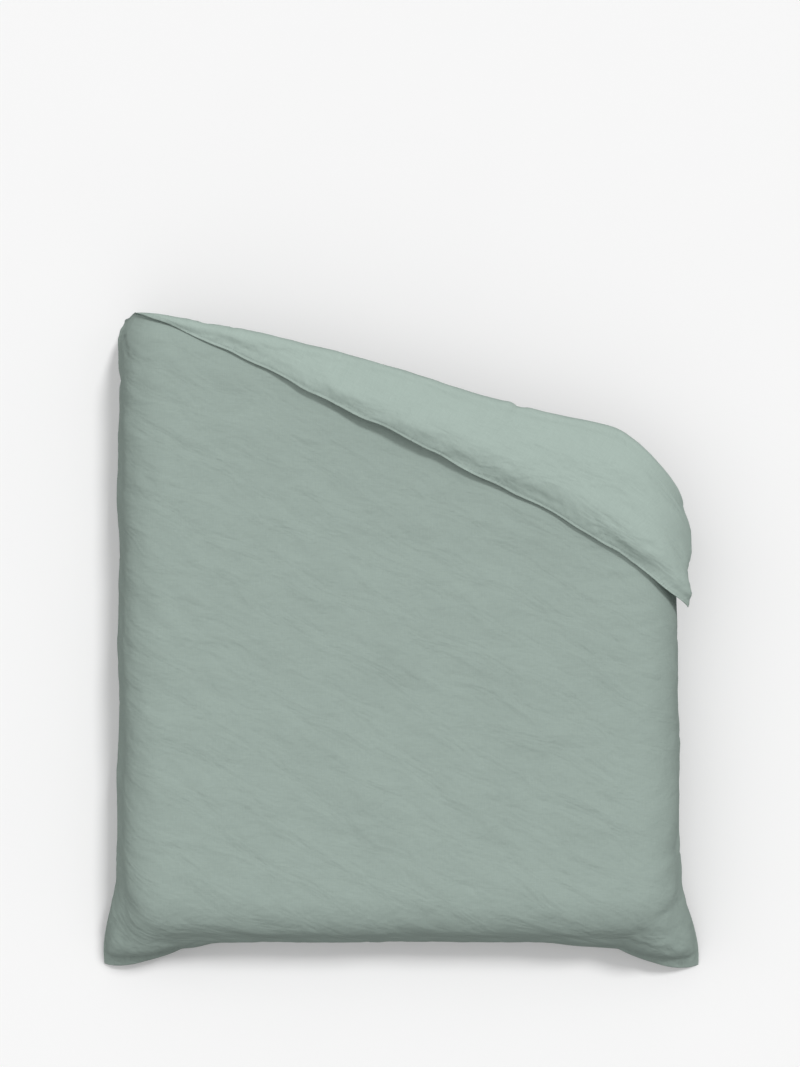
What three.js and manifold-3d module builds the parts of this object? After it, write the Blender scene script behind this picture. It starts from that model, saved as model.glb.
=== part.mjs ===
// A double duvet lying on a bed with its head corner on the +X side turned back.
// It is a filled inner (two shells, sixteen fill boxes, baffle walls, edge binding)
// inside a buttoned cover (two panels, hem facings, buttons, corner ties).
// Millimetres, +Z up. The head of the bed is at +Y. The origin is the middle of the
// mattress top, which the underside of the duvet lies on, so the sides hang below z = 0.
import * as THREE from "three";
import Module from "manifold-3d";

const wasm = await Module();
wasm.setup();

// ---- Driving dimensions ------------------------------------------------------------
const WIDTH = 2000; // cut width of the cover
const LENGTH = 2000; // cut length of the cover
const LOFT = 34; // thickness of the filled duvet
const CLOTH = 0.6; // thickness of every cloth layer
const AIR = 0.5; // gap between layers that touch on the real thing

const SEAM = 10; // flat flange outside the side and head seams
const SEAM_LOFT = 1.6;
const HEM = 40; // flat hem band at the foot opening
const HEM_LOFT = 4;
const TAPER = 95; // distance in which the loft rises from a seam
const TAPER_POWER = 2.2;

const ROOM = 24; // inner's edge inside the cover's side and head seams and hem band
const FILL_INSET = 12; // fill inside the inner's edge
const INNER_EASE = 4.4; // the inner is this much thinner than the cover
const BAFFLE_LINES = [-500, 0, 500];
const BAFFLE_ROWS = [500, 1000, 1500];

// How it lies on the bed
const HEAD_Y = 730; // head edge of the cover before the corner is turned back
const BEND_U = 655; // where the sides leave the mattress top
const BEND_V = 1670; // where the foot leaves it, measured from the head edge
const BEND_RADIUS = 140;
const SIDE_ANGLE = THREE.MathUtils.degToRad(70);
const FOOT_ANGLE = THREE.MathUtils.degToRad(60);
const EAR_ANGLE = THREE.MathUtils.degToRad(23); // how much flatter a foot corner hangs
const EAR_SWING = THREE.MathUtils.degToRad(4); // how far it swings towards the foot
const SETTLE = 0.85; // share of a thinner place's missing loft that comes off the top

// How the corner is turned back
const FOLD_AT_MIDDLE = 198; // fold line's distance from the head edge at u = 0
const FOLD_SLOPE = 0.235;
const FOLD_GAP = 3; // half the gap between the turned-back corner and what it lies on
const CREASE = 0.4; // share of the loft that the fold presses out
const CREASE_WIDTH = 60;
const SLUMP = 130; // how far the fold slides towards the foot as it goes over the side
const SLUMP_START = 600;
const SLUMP_WIDTH = 250;
const SLUMP_REACH = 450;

// Fastenings
const BUTTONS_AT = [-500, -300, -100, 100, 300, 500];
const OPENING = 600; // half the length of the foot opening
const BUTTON_LINE = 1980;
const BUTTON_RADIUS = 9;
const BUTTON_THICKNESS = 3;

// ---- Small helpers -----------------------------------------------------------------
const clamp = (x) => Math.min(1, Math.max(0, x));
const smooth = (x) => clamp(x) ** 2 * (3 - 2 * clamp(x));
const softMin = (a, b, k = 0.1) => Math.min(a, b) - (Math.max(k - Math.abs(a - b), 0) / k) ** 2 * (k / 4);
const rise = (x) => 1 - (1 - clamp(x)) ** TAPER_POWER;

// ---- The flat duvet ----------------------------------------------------------------
// u runs across the bed from the middle, v from the head edge to the foot edge, and w
// through the thickness, upwards from the middle layer.
const FOLD_COS = 1 / Math.hypot(1, FOLD_SLOPE);
const FOLD_SIN = FOLD_SLOPE * FOLD_COS;
const foldLine = (u) => FOLD_AT_MIDDLE + FOLD_SLOPE * u;

function seamLoft(v) {
  return SEAM_LOFT + (HEM_LOFT - SEAM_LOFT) * smooth((v - (LENGTH - HEM - 60)) / 50);
}

// Share of the full rise at a place, for edges set in from the cover's seams by inset.
function fullness(u, v, inset) {
  const side = clamp((WIDTH / 2 - Math.abs(u) - SEAM - inset) / TAPER);
  const head = clamp((v - SEAM - inset) / TAPER);
  const foot = clamp((LENGTH - v - HEM - inset) / TAPER);
  return rise(softMin(softMin(side, head), foot));
}

const creaseAt = (uFold) => CREASE * smooth(foldLine(uFold) / 80);

function uncreasedLoft(u, v) {
  return seamLoft(v) + (LOFT - seamLoft(v)) * fullness(u, v, 0);
}

function foldRadius(uFold) {
  const loft = uncreasedLoft(uFold, foldLine(uFold));
  return (loft * (1 - creaseAt(uFold))) / 2 + FOLD_GAP;
}

// Distance from the fold line, positive on the turned-back side, and where its foot is.
function foldPlace(u, v) {
  const s = (foldLine(u) - v) * FOLD_COS;
  const uFold = u - s * FOLD_SIN;
  return { s, uFold, radius: foldRadius(uFold) };
}

function creaseFactor(u, v) {
  const { s, uFold, radius } = foldPlace(u, v);
  const away = Math.max(0, -s, s - Math.PI * radius);
  return 1 - creaseAt(uFold) * Math.exp(-((away / CREASE_WIDTH) ** 2));
}

function coverLoft(u, v) {
  const seam = seamLoft(v);
  return seam + (LOFT - seam) * fullness(u, v, 0) * creaseFactor(u, v);
}

function innerLoft(u, v) {
  const rising = fullness(u, v, ROOM) * creaseFactor(u, v);
  return SEAM_LOFT + (LOFT - INNER_EASE - SEAM_LOFT) * rising;
}

// ---- Draping -----------------------------------------------------------------------
// Middle layer's height above its level on the mattress, where the loft is less than full.
const settled = (u, v) => (-(LOFT - coverLoft(u, v)) / 2) * SETTLE;

// A place on the flat duvet, after the corner is turned back: a flat place and a lift
// above the middle layer there.
function turnBack(u, v, w) {
  const { s, uFold, radius } = foldPlace(u, v);
  const bend = Math.PI * radius;
  if (s <= 0) return { u, v, lift: settled(u, v) + w };
  const along = (distance) => ({
    u: uFold + distance * FOLD_SIN,
    v: foldLine(uFold) - distance * FOLD_COS,
  });
  if (s < bend) {
    const angle = s / radius;
    const base = settled(uFold, foldLine(uFold));
    const lift = base + radius - (radius - w) * Math.cos(angle);
    return { ...along((radius - w) * Math.sin(angle)), lift };
  }
  const under = along(bend - s);
  const below = settled(under.u, under.v) + coverLoft(under.u, under.v) / 2;
  return { ...under, lift: below + 2 * FOLD_GAP + coverLoft(u, v) / 2 - w };
}

// The fold slides towards the foot where it goes over the side of the bed.
function slumped(u, v) {
  const below = Math.max(0, v - foldLine(u));
  const fade = Math.exp(-((below / SLUMP_REACH) ** 2));
  return v + SLUMP * smooth((u - SLUMP_START) / SLUMP_WIDTH) * fade;
}

// Over the edges of the mattress: flat, then round a bend, then straight down the side.
// At the foot corners the same profile runs out from the corner of the flat part.
function drape(u, v, lift) {
  const side = Math.max(0, Math.abs(u) - BEND_U);
  const foot = Math.max(0, v - BEND_V);
  const distance = Math.hypot(side, foot);
  const turn = Math.atan2(foot, side);
  const heading = turn + EAR_SWING * Math.sin(2 * turn);
  const between = smooth(turn / (Math.PI / 2));
  const straightHang = SIDE_ANGLE + (FOOT_ANGLE - SIDE_ANGLE) * between;
  const hang = straightHang - EAR_ANGLE * Math.sin(2 * turn) ** 2;
  const angle = Math.min(distance / BEND_RADIUS, hang);
  const straight = distance - BEND_RADIUS * angle;
  const out = BEND_RADIUS * Math.sin(angle) + straight * Math.cos(angle) + lift * Math.sin(angle);
  const down = BEND_RADIUS * (1 - Math.cos(angle)) + straight * Math.sin(angle);
  return new THREE.Vector3(
    Math.sign(u) * (Math.min(Math.abs(u), BEND_U) + out * Math.cos(heading)),
    HEAD_Y - Math.min(v, BEND_V) - out * Math.sin(heading),
    LOFT / 2 - down + lift * Math.cos(angle),
  );
}

function lay(u, v, w) {
  const turned = turnBack(u, v, w);
  return drape(turned.u, slumped(turned.u, turned.v), turned.lift);
}

// ---- The lattice that every layer shares --------------------------------------------
// All layers bend on the same lines, so their facets stay parallel and never touch.
const sideArc = (BEND_RADIUS * SIDE_ANGLE) / 3;
const footArc = (BEND_RADIUS * FOOT_ANGLE) / 3;
const half = WIDTH / 2;
const INNER_INSET = SEAM + ROOM;
const FOOT_INSET = HEM + ROOM;
const border = [TAPER, ROOM + FILL_INSET, ROOM, 0]; // lines inside every seam
const outerColumns = [0, 1, 2, 3].map((k) => BEND_U + k * sideArc);
outerColumns.push(...border.map((inside) => half - SEAM - inside), half);
const COLUMNS = [
  ...outerColumns.map((u) => -u).reverse(),
  ...[-600, -550, -500, -440, -380, -250, -20, 250, 500],
  ...outerColumns,
];
const SPACING = 8; // least distance between rows
const FILL_ROW = 3; // index of the row where the fill starts
const BODY_ROW = 12; // index of the row at the first baffle

function rowsOfColumn(u) {
  const fold = foldLine(u);
  const bend = (Math.PI * foldRadius(u)) / FOLD_COS;
  const wanted = [0, SEAM, INNER_INSET, INNER_INSET + FILL_INSET];
  const flap = Math.min(SEAM + TAPER, (INNER_INSET + fold - bend) / 2);
  wanted.push(flap, (flap + fold - bend) / 2);
  for (let k = 4; k >= 0; k--) wanted.push(fold - (bend * k) / 4);
  wanted.push(fold + CREASE_WIDTH, ...BAFFLE_ROWS);
  for (let k = 0; k <= 3; k++) wanted.push(BEND_V + k * footArc);
  wanted.push(...border.map((inside) => LENGTH - HEM - inside), LENGTH);
  for (let j = 1; j < wanted.length; j++) wanted[j] = Math.max(wanted[j], wanted[j - 1] + SPACING);
  return wanted;
}
const ROWS = COLUMNS.map(rowsOfColumn);
const ROW_COUNT = ROWS[0].length;

function columnPlace(u) {
  let i = COLUMNS.findIndex((column, k) => k > 0 && u <= column) - 1;
  if (i < 0) i = COLUMNS.length - 2;
  return { i, a: (u - COLUMNS[i]) / (COLUMNS[i + 1] - COLUMNS[i]) };
}

function rowAt(j, u) {
  const { i, a } = columnPlace(u);
  return ROWS[i][j] * (1 - a) + ROWS[i + 1][j] * a;
}

// A cell's diagonal points to the duvet's nearest corner. This tells whether it is the
// one from the cell's least u and v to its greatest.
const isMainDiagonal = (i, v) => COLUMNS[i] + COLUMNS[i + 1] < 0 === v < BAFFLE_ROWS[0];

// A layer is a function of u and v that gives w. Its lattice corners are laid exactly,
// and anything between them lies on the facets that they span.
function onLayer(layer, u, v) {
  const { i, a } = columnPlace(u);
  let j = 0;
  while (j < ROW_COUNT - 2 && rowAt(j + 1, u) < v) j++;
  const b = (v - rowAt(j, u)) / (rowAt(j + 1, u) - rowAt(j, u));
  const corner = (di, dj) => {
    const [cu, cv] = [COLUMNS[i + di], ROWS[i + di][j + dj]];
    return lay(cu, cv, layer(cu, cv));
  };
  const point = new THREE.Vector3();
  if (isMainDiagonal(i, (rowAt(j, u) + rowAt(j + 1, u)) / 2)) {
    point.addScaledVector(corner(0, 0), 1 - Math.max(a, b));
    point.addScaledVector(a > b ? corner(1, 0) : corner(0, 1), Math.abs(a - b));
    return point.addScaledVector(corner(1, 1), Math.min(a, b));
  }
  const near = a + b < 1;
  point.addScaledVector(near ? corner(0, 0) : corner(1, 1), Math.abs(1 - a - b));
  point.addScaledVector(corner(1, 0), near ? a : 1 - b);
  return point.addScaledVector(corner(0, 1), near ? b : 1 - a);
}

const rowsBetween = (from, first, last, to) => (u) => {
  const inside = [];
  for (let j = first; j <= last; j++) inside.push(rowAt(j, u));
  return [...(from === null ? [] : [from]), ...inside, ...(to === null ? [] : [to])];
};
const columnsBetween = (from, to) => [from, ...COLUMNS.filter((u) => u > from && u < to), to];

// ---- Solids ------------------------------------------------------------------------
function solidFrom(points, faces) {
  const geometry = new THREE.BufferGeometry().setFromPoints(points);
  geometry.setIndex(faces.flat());
  geometry.computeVertexNormals();
  return geometry;
}

// The solid between two layers over a patch of the flat duvet.
function patch(columns, rowsAtColumn, top, bottom) {
  const points = [];
  const grid = columns.map((u) => rowsAtColumn(u).map((v) => ({ u, v })));
  const rows = grid[0].length;
  const count = columns.length * rows;
  for (const layer of [top, bottom])
    for (const column of grid) for (const { u, v } of column) points.push(onLayer(layer, u, v));
  const at = (i, j) => i * rows + j;
  const faces = [];
  for (let i = 0; i < columns.length - 1; i++)
    for (let j = 0; j < rows - 1; j++) {
      const cell = [at(i, j), at(i, j + 1), at(i + 1, j + 1), at(i + 1, j)];
      const middle = columnPlace((columns[i] + columns[i + 1]) / 2).i;
      if (!isMainDiagonal(middle, (grid[i][j].v + grid[i][j + 1].v) / 2)) cell.push(cell.shift());
      const [a, b, c, d] = cell;
      faces.push([a, b, c], [a, c, d]);
      faces.push([a + count, c + count, b + count], [a + count, d + count, c + count]);
    }
  // Walls: their diagonals run from the top down towards greater u or v on every side.
  const wall = (p, q, forward) =>
    forward
      ? faces.push([p, p + count, q + count], [p, q + count, q])
      : faces.push([p, p + count, q], [p + count, q + count, q]);
  const last = columns.length - 1;
  for (let j = 0; j < rows - 1; j++) {
    wall(at(0, j), at(0, j + 1), true);
    wall(at(last, j + 1), at(last, j), false);
  }
  for (let i = 0; i < last; i++) {
    wall(at(i, rows - 1), at(i + 1, rows - 1), true);
    wall(at(i + 1, 0), at(i, 0), false);
  }
  return solidFrom(points, faces);
}

// A closed frame along the inner's edge, from outer to inner distance beyond it.
function edgeFrame(outer, inner, halfHeight) {
  const edge = half - INNER_INSET;
  const [head, foot] = [INNER_INSET, LENGTH - FOOT_INSET];
  const sides = COLUMNS.filter((u) => Math.abs(u) < edge);
  const stations = [];
  const add = (u, v, du, dv) => stations.push([u, v, du, dv]);
  add(-edge, head, -1, -1);
  for (let j = FILL_ROW; j < ROW_COUNT - 3; j++) add(-edge, rowAt(j, -edge), -1, 0);
  add(-edge, foot, -1, 1);
  sides.forEach((u) => add(u, foot, 0, 1));
  add(edge, foot, 1, 1);
  for (let j = ROW_COUNT - 4; j >= FILL_ROW; j--) add(edge, rowAt(j, edge), 1, 0);
  add(edge, head, 1, -1);
  sides.reverse().forEach((u) => add(u, head, 0, -1));
  const points = [];
  for (const [u, v, du, dv] of stations)
    for (const [distance, w] of [
      [outer, halfHeight],
      [outer, -halfHeight],
      [inner, -halfHeight],
      [inner, halfHeight],
    ])
      points.push(onLayer(() => w, u + du * distance, v + dv * distance));
  const faces = [];
  stations.forEach((_, k) => {
    const next = (k + 1) % stations.length;
    for (let e = 0; e < 4; e++) {
      const [a, b] = [4 * k + e, 4 * k + ((e + 1) % 4)];
      const [c, d] = [4 * next + ((e + 1) % 4), 4 * next + e];
      faces.push([a, b, c], [a, c, d]);
    }
  });
  return solidFrom(points, faces);
}

// Position and axes of the duvet's surface at a place: x along u, y towards the head.
function frameAt(u, v, w, turn = 0) {
  const at = (du, dv) => onLayer(() => w, u + du, v + dv);
  const x = at(1, 0).sub(at(-1, 0)).normalize();
  const y = at(0, -1).sub(at(0, 1));
  const z = new THREE.Vector3().crossVectors(x, y).normalize();
  const axes = new THREE.Matrix4().makeBasis(x, new THREE.Vector3().crossVectors(z, x), z);
  return axes.multiply(new THREE.Matrix4().makeRotationZ(turn)).setPosition(at(0, 0));
}

const toManifold = (geometry) =>
  new wasm.Manifold(
    new wasm.Mesh({
      numProp: 3,
      vertProperties: new Float32Array(geometry.attributes.position.array),
      triVerts: new Uint32Array(geometry.index.array),
    }),
  );

function fromManifold(solid) {
  const mesh = solid.getMesh();
  const geometry = new THREE.BufferGeometry();
  geometry.setAttribute("position", new THREE.BufferAttribute(mesh.vertProperties, 3));
  geometry.setIndex(new THREE.BufferAttribute(mesh.triVerts, 1));
  geometry.computeVertexNormals();
  return geometry;
}

// ---- Materials and nodes -----------------------------------------------------------
const material = (color, roughness) => new THREE.MeshStandardMaterial({ color, roughness, metalness: 0 });
const SAGE = material(0x9db0a6, 0.9);
const WHITE_COTTON = material(0xf1f0ea, 0.85);
const DOWN = material(0xf6f3ea, 0.95);
const TAPE = material(0xe4e2d8, 0.85);
const BUTTON = material(0xb9c6bd, 0.35);
const THREAD = material(0x8ea398, 0.8);
const LABEL = material(0xfafafa, 0.7);

const duvet = new THREE.Group();
function addNode(name, geometry, nodeMaterial, matrix) {
  const mesh = new THREE.Mesh(geometry, nodeMaterial);
  mesh.name = name;
  if (matrix) matrix.decompose(mesh.position, mesh.quaternion, mesh.scale);
  duvet.add(mesh);
}

// ---- Cover -------------------------------------------------------------------------
const wholeColumns = columnsBetween(-half, half);
const wholeRows = rowsBetween(null, 0, ROW_COUNT - 1, null);
const coverTop = (u, v) => coverLoft(u, v) / 2;

// Slots through the lower layers that the button shanks pass through.
function cutButtonholes(geometry) {
  let solid = toManifold(geometry);
  for (const u of BUTTONS_AT) {
    const slot = new THREE.BoxGeometry(2 * BUTTON_RADIUS + 2, 2.6, HEM_LOFT);
    slot.deleteAttribute("normal");
    slot.deleteAttribute("uv");
    const merged = mergeBox(slot).applyMatrix4(frameAt(u, BUTTON_LINE, -HEM_LOFT / 2));
    solid = solid.subtract(toManifold(merged));
  }
  return fromManifold(solid);
}

// A box's corners merged, so that it is one closed surface.
function mergeBox(box) {
  const corners = [];
  const index = [];
  const position = box.attributes.position;
  for (const vertex of box.index.array) {
    const corner = new THREE.Vector3().fromBufferAttribute(position, vertex);
    let found = corners.findIndex((c) => c.distanceTo(corner) < 1e-6);
    if (found < 0) found = corners.push(corner) - 1;
    index.push(found);
  }
  return new THREE.BufferGeometry().setFromPoints(corners).setIndex(index);
}

function addCover() {
  const upper = patch(wholeColumns, wholeRows, coverTop, (u, v) => coverTop(u, v) - CLOTH);
  const lower = patch(wholeColumns, wholeRows, (u, v) => CLOTH - coverTop(u, v), (u, v) => -coverTop(u, v));
  addNode("cover_upper_panel", upper, SAGE);
  addNode("cover_lower_panel", cutButtonholes(lower), SAGE);
}

// Strips of cloth inside the foot opening: the upper one holds the buttons, the lower
// one the buttonholes.
function addHemFacings() {
  const outside = HEM_LOFT / 2 - CLOTH - 0.4;
  const rows = () => [LENGTH - HEM + 2, LENGTH - 3];
  const columns = columnsBetween(-OPENING, OPENING);
  addNode("upper_hem_facing", patch(columns, rows, () => outside, () => outside - CLOTH), SAGE);
  const lower = patch(columns, rows, () => CLOTH - outside, () => -outside);
  addNode("lower_hem_facing", cutButtonholes(lower), SAGE);
}

function buttonGeometry() {
  const face = new THREE.Shape().absarc(0, 0, BUTTON_RADIUS, 0, 2 * Math.PI);
  for (const [x, y] of [
    [1, 1],
    [-1, 1],
    [-1, -1],
    [1, -1],
  ])
    face.holes.push(new THREE.Path().absarc(1.7 * x, 1.7 * y, 0.9, 0, 2 * Math.PI));
  return new THREE.ExtrudeGeometry(face, {
    depth: BUTTON_THICKNESS,
    bevelEnabled: false,
    curveSegments: 8,
  });
}

function addButtons() {
  const underside = -HEM_LOFT / 2;
  const shankTop = 0.1;
  const shankEnd = underside - 0.1;
  BUTTONS_AT.forEach((u, k) => {
    const seat = frameAt(u, BUTTON_LINE, underside - 0.4 - BUTTON_THICKNESS);
    addNode(`button_${k + 1}`, buttonGeometry(), BUTTON, seat);
    const shank = new THREE.CylinderGeometry(0.9, 0.9, shankTop - shankEnd, 8).rotateX(Math.PI / 2);
    addNode(`button_shank_${k + 1}`, shank, THREAD, frameAt(u, BUTTON_LINE, (shankTop + shankEnd) / 2));
  });
}

// ---- Corner fastenings --------------------------------------------------------------
// A tape loop on each corner of the inner, and a ribbon tie from the cover's corner
// seam that passes through it. Both lie along the diagonal, +x towards the corner.
function loopGeometry() {
  const outline = new THREE.Shape([
    new THREE.Vector2(-9, -3),
    new THREE.Vector2(5, -3),
    new THREE.Vector2(5, 3),
    new THREE.Vector2(-9, 3),
  ]);
  const hole = new THREE.Path([
    new THREE.Vector2(-7, -2),
    new THREE.Vector2(-7, 2),
    new THREE.Vector2(3.4, 2),
    new THREE.Vector2(3.4, -2),
  ]);
  outline.holes.push(hole);
  const depth = 0.8;
  return new THREE.ExtrudeGeometry(outline, { depth, bevelEnabled: false }).translate(0, 0, -depth / 2);
}

function tieGeometry() {
  const [near, far, inside, outside, width] = [0, 7, 0.7, 1.1, 3];
  const hairpin = new THREE.Shape([
    new THREE.Vector2(far, inside),
    new THREE.Vector2(far, outside),
    new THREE.Vector2(near, outside),
    new THREE.Vector2(near, -outside),
    new THREE.Vector2(far, -outside),
    new THREE.Vector2(far, -inside),
    new THREE.Vector2(near + 0.5, -inside),
    new THREE.Vector2(near + 0.5, inside),
  ]);
  const strip = new THREE.ExtrudeGeometry(hairpin, { depth: width, bevelEnabled: false });
  return strip.translate(0, 0, -width / 2).rotateX(Math.PI / 2);
}

function addCornerFastenings() {
  const inside = 0.56 * ROOM;
  const across = half - SEAM - inside;
  const [head, foot] = [SEAM + inside, LENGTH - HEM - inside];
  const corners = [
    ["head_left", -across, head, 135],
    ["head_right", across, head, 45],
    ["foot_left", -across, foot, 225],
    ["foot_right", across, foot, 315],
  ];
  for (const [name, u, v, degrees] of corners) {
    const place = frameAt(u, v, 0, THREE.MathUtils.degToRad(degrees));
    addNode(`inner_corner_loop_${name}`, loopGeometry(), TAPE, place);
    addNode(`cover_corner_tie_${name}`, tieGeometry(), SAGE, place);
  }
}

// ---- Inner -------------------------------------------------------------------------
const innerEdge = half - INNER_INSET;
const innerTop = (u, v) => innerLoft(u, v) / 2;

function addShells() {
  const columns = columnsBetween(-innerEdge, innerEdge);
  const rows = rowsBetween(null, 2, ROW_COUNT - 3, null);
  const upper = patch(columns, rows, innerTop, (u, v) => innerTop(u, v) - CLOTH);
  const lower = patch(columns, rows, (u, v) => CLOTH - innerTop(u, v), (u, v) => -innerTop(u, v));
  addNode("inner_upper_shell", upper, WHITE_COTTON);
  addNode("inner_lower_shell", lower, WHITE_COTTON);
}

// Spans between baffles, from one fill edge to the other.
const fillSpans = (lines, from, to, gap) => {
  const edges = [from - gap, ...lines, to + gap];
  return edges.slice(1).map((edge, k) => [edges[k] + gap, edge - gap]);
};
const FILL_EDGE = innerEdge - FILL_INSET;
const FILL_HEAD = INNER_INSET + FILL_INSET;
const FILL_FOOT = LENGTH - FOOT_INSET - FILL_INSET;
const FOOT_ROW = BODY_ROW + BAFFLE_ROWS.length; // first row behind the last baffle
// Lattice rows inside each row of fill boxes: first and last index.
const FILL_ROWS = [
  [FILL_ROW + 1, BODY_ROW - 1],
  [1, 0],
  [1, 0],
  [FOOT_ROW, ROW_COUNT - 5],
];

function addFill() {
  const top = (u, v) => innerTop(u, v) - CLOTH - 1;
  fillSpans(BAFFLE_ROWS, FILL_HEAD, FILL_FOOT, 1).forEach(([from, to], row) => {
    const rows = rowsBetween(from, ...FILL_ROWS[row], to);
    fillSpans(BAFFLE_LINES, -FILL_EDGE, FILL_EDGE, 1).forEach(([left, right], column) => {
      const box = patch(columnsBetween(left, right), rows, top, (u, v) => -top(u, v));
      addNode(`fill_box_row${row + 1}_column${column + 1}`, box, DOWN);
    });
  });
}

function addBaffles() {
  const top = (u, v) => innerTop(u, v) - CLOTH - AIR;
  const bottom = (u, v) => -top(u, v);
  const thin = CLOTH / 2;
  const rows = rowsBetween(null, FILL_ROW, ROW_COUNT - 4, null);
  BAFFLE_LINES.forEach((u, k) => {
    addNode(`baffle_long_${k + 1}`, patch([u - thin, u + thin], rows, top, bottom), TAPE);
  });
  BAFFLE_ROWS.forEach((v, row) => {
    fillSpans(BAFFLE_LINES, -FILL_EDGE, FILL_EDGE, thin + AIR).forEach(([left, right], column) => {
      const wall = patch(columnsBetween(left, right), () => [v - thin, v + thin], top, bottom);
      addNode(`baffle_cross_row${row + 1}_column${column + 1}`, wall, TAPE);
    });
  });
}

// ---- Care label, sewn into the cover's side seam -------------------------------------
function addCareLabel() {
  const columns = columnsBetween(-half + SEAM + 6, -half + SEAM + ROOM + 6);
  const bottom = (u, v) => -coverTop(u, v) + CLOTH + 0.3;
  const label = patch(columns, () => [1250, 1300], (u, v) => bottom(u, v) + 0.4, bottom);
  addNode("care_label", label, LABEL);
}

addCover();
addHemFacings();
addButtons();
addCornerFastenings();
addShells();
addNode("inner_edge_binding", edgeFrame(3, 0.4, 0.7), TAPE);
addFill();
addBaffles();
addCareLabel();

export default duvet;
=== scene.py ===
"""A double duvet lying on a bed, its head corner on the +X side turned back.

Every cloth layer is made on the flat duvet and then laid on the bed by one function, so
the layers keep their order and their spacing. Flat places are in millimetres: u across
from the middle, v from the head edge to the foot edge, w through the thickness.
"""

import math

import bpy
import numpy as np
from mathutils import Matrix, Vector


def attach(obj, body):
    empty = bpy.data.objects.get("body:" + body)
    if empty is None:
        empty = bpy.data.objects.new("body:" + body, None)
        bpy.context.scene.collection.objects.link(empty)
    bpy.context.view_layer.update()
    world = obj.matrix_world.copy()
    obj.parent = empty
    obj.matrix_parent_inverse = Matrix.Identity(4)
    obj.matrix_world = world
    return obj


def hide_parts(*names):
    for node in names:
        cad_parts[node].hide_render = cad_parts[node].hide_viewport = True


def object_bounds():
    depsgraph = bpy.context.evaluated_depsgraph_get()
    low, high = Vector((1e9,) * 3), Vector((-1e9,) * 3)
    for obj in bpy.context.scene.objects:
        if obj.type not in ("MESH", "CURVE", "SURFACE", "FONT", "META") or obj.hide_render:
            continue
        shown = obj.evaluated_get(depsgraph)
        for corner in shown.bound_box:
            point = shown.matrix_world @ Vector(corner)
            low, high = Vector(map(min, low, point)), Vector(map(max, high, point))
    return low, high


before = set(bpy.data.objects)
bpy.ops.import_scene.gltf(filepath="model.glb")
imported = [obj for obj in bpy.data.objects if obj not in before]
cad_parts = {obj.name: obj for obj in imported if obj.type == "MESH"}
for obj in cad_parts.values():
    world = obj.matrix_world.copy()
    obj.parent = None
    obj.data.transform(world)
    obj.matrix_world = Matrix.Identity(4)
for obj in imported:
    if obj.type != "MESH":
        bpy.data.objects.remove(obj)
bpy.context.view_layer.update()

SCENE = bpy.context.scene
RNG = np.random.default_rng(11)

# ---- The duvet's own measures, in millimetres, as in the CAD part
WIDTH = LENGTH = 2000.0
HALF = WIDTH / 2
LOFT = 34.0
SEAM, SEAM_LOFT = 10.0, 1.6
HEM, HEM_LOFT = 40.0, 4.0
TAPER, TAPER_POWER = 95.0, 2.2
ROOM, FILL_INSET, INNER_EASE = 24.0, 12.0, 4.4
BAFFLES_U = (-500.0, 0.0, 500.0)
BAFFLES_V = (500.0, 1000.0, 1500.0)
HEAD_Y = 730.0
BEND_U, BEND_V, BEND_RADIUS = 655.0, 1670.0, 140.0
SIDE_ANGLE, FOOT_ANGLE = math.radians(70), math.radians(60)
EAR_ANGLE, EAR_SWING = math.radians(23), math.radians(4)
SETTLE = 0.85
FOLD_AT_MIDDLE, FOLD_SLOPE, FOLD_GAP = 198.0, 0.235, 3.0
CREASE, CREASE_WIDTH = 0.4, 60.0
SLUMP, SLUMP_START, SLUMP_WIDTH, SLUMP_REACH = 130.0, 600.0, 250.0, 450.0
BUTTONS_AT = (-500, -300, -100, 100, 300, 500)
BUTTON_LINE = 1980.0


# ---- Camera
CAMERA_Y, CAMERA_Z = 0.084, 4.0
SEEN_HEIGHT = 3.049  # metres from the picture's bottom to its top, at the height of the bed
SENSOR = 36.0


def add_camera():
    data = bpy.data.cameras.new("camera")
    data.sensor_fit = "VERTICAL"
    data.sensor_height = SENSOR
    data.lens = SENSOR * CAMERA_Z / SEEN_HEIGHT
    camera = bpy.data.objects.new("camera", data)
    SCENE.collection.objects.link(camera)
    camera.location = (0, CAMERA_Y, CAMERA_Z)
    SCENE.camera = camera


add_camera()


# ---- How it lies
def clamp(x):
    return np.clip(x, 0.0, 1.0)


def smooth(x):
    x = clamp(x)
    return x * x * (3 - 2 * x)


def ramp(x, start, width):
    """0 up to start, 1 from start + width on, and eased between."""
    return smooth((x - start) / width)


def hill(x, reach):
    return np.exp(-((x / reach) ** 2))


def sines(x, *rows):
    """A sum of sines along x, each with its height, its length over 2 pi, and its phase."""
    return sum(height * np.sin(x / length + phase) for height, length, phase in rows)


def soft_min(a, b, k=0.1):
    return np.minimum(a, b) - (np.maximum(k - np.abs(a - b), 0) / k) ** 2 * (k / 4)


def rise(x):
    return 1 - (1 - clamp(x)) ** TAPER_POWER


FOLD_COS = 1 / math.hypot(1, FOLD_SLOPE)
FOLD_SIN = FOLD_SLOPE * FOLD_COS


def fold_line(u):
    return FOLD_AT_MIDDLE + FOLD_SLOPE * u


def seam_loft(v):
    return SEAM_LOFT + (HEM_LOFT - SEAM_LOFT) * smooth((v - (LENGTH - HEM - 60)) / 50)


def fullness(u, v, inset=0.0):
    side = clamp((HALF - np.abs(u) - SEAM - inset) / TAPER)
    head = clamp((v - SEAM - inset) / TAPER)
    foot = clamp((LENGTH - v - HEM - inset) / TAPER)
    return rise(soft_min(soft_min(side, head), foot))


def crease_at(u_fold):
    return CREASE * smooth(fold_line(u_fold) / 80)


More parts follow.
